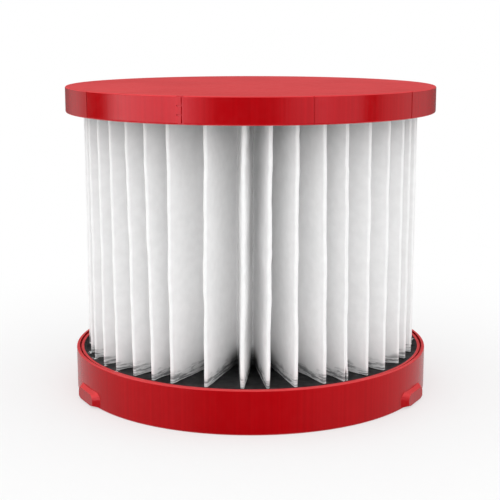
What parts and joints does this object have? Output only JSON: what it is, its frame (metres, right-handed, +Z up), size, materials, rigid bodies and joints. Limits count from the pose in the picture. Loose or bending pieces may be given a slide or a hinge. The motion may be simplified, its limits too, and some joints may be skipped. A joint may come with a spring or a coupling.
{
  "type": "pleated vacuum cleaner cartridge filter",
  "caption": "Cylindrical pleated cartridge filter for a wet and dry vacuum: closed cap, white pleats on a lattice core, open ring with bore, gasket and bayonet lugs.",
  "frame": {"origin": "centre of the open end's foot, where the filter stands on a surface", "axes": "+Z up along the filter's axis, from the open end to the closed cap; -Y is the front, between two of the three lugs"},
  "size_m": [0.152, 0.152, 0.126],
  "materials": {
    "red_plastic": "satin moulded, with fine flow lines round the sides",
    "potting_resin": "cast, slightly glossy, climbing a little up the walls",
    "filter_sheet": "white non-woven sheet, folded",
    "seam_adhesive": "hot-melt bead",
    "core_plastic": "moulded",
    "gasket_rubber": "matt"
  },
  "bodies": {
    "root": {"end_cap": "red_plastic", "cap_resin": "potting_resin", "pleated_media": "filter_sheet", "seam_bead": "seam_adhesive", "support_core": "core_plastic", "end_ring": "red_plastic", "ring_resin": "potting_resin", "sealing_gasket": "gasket_rubber"}
  },
  "joints": []
}
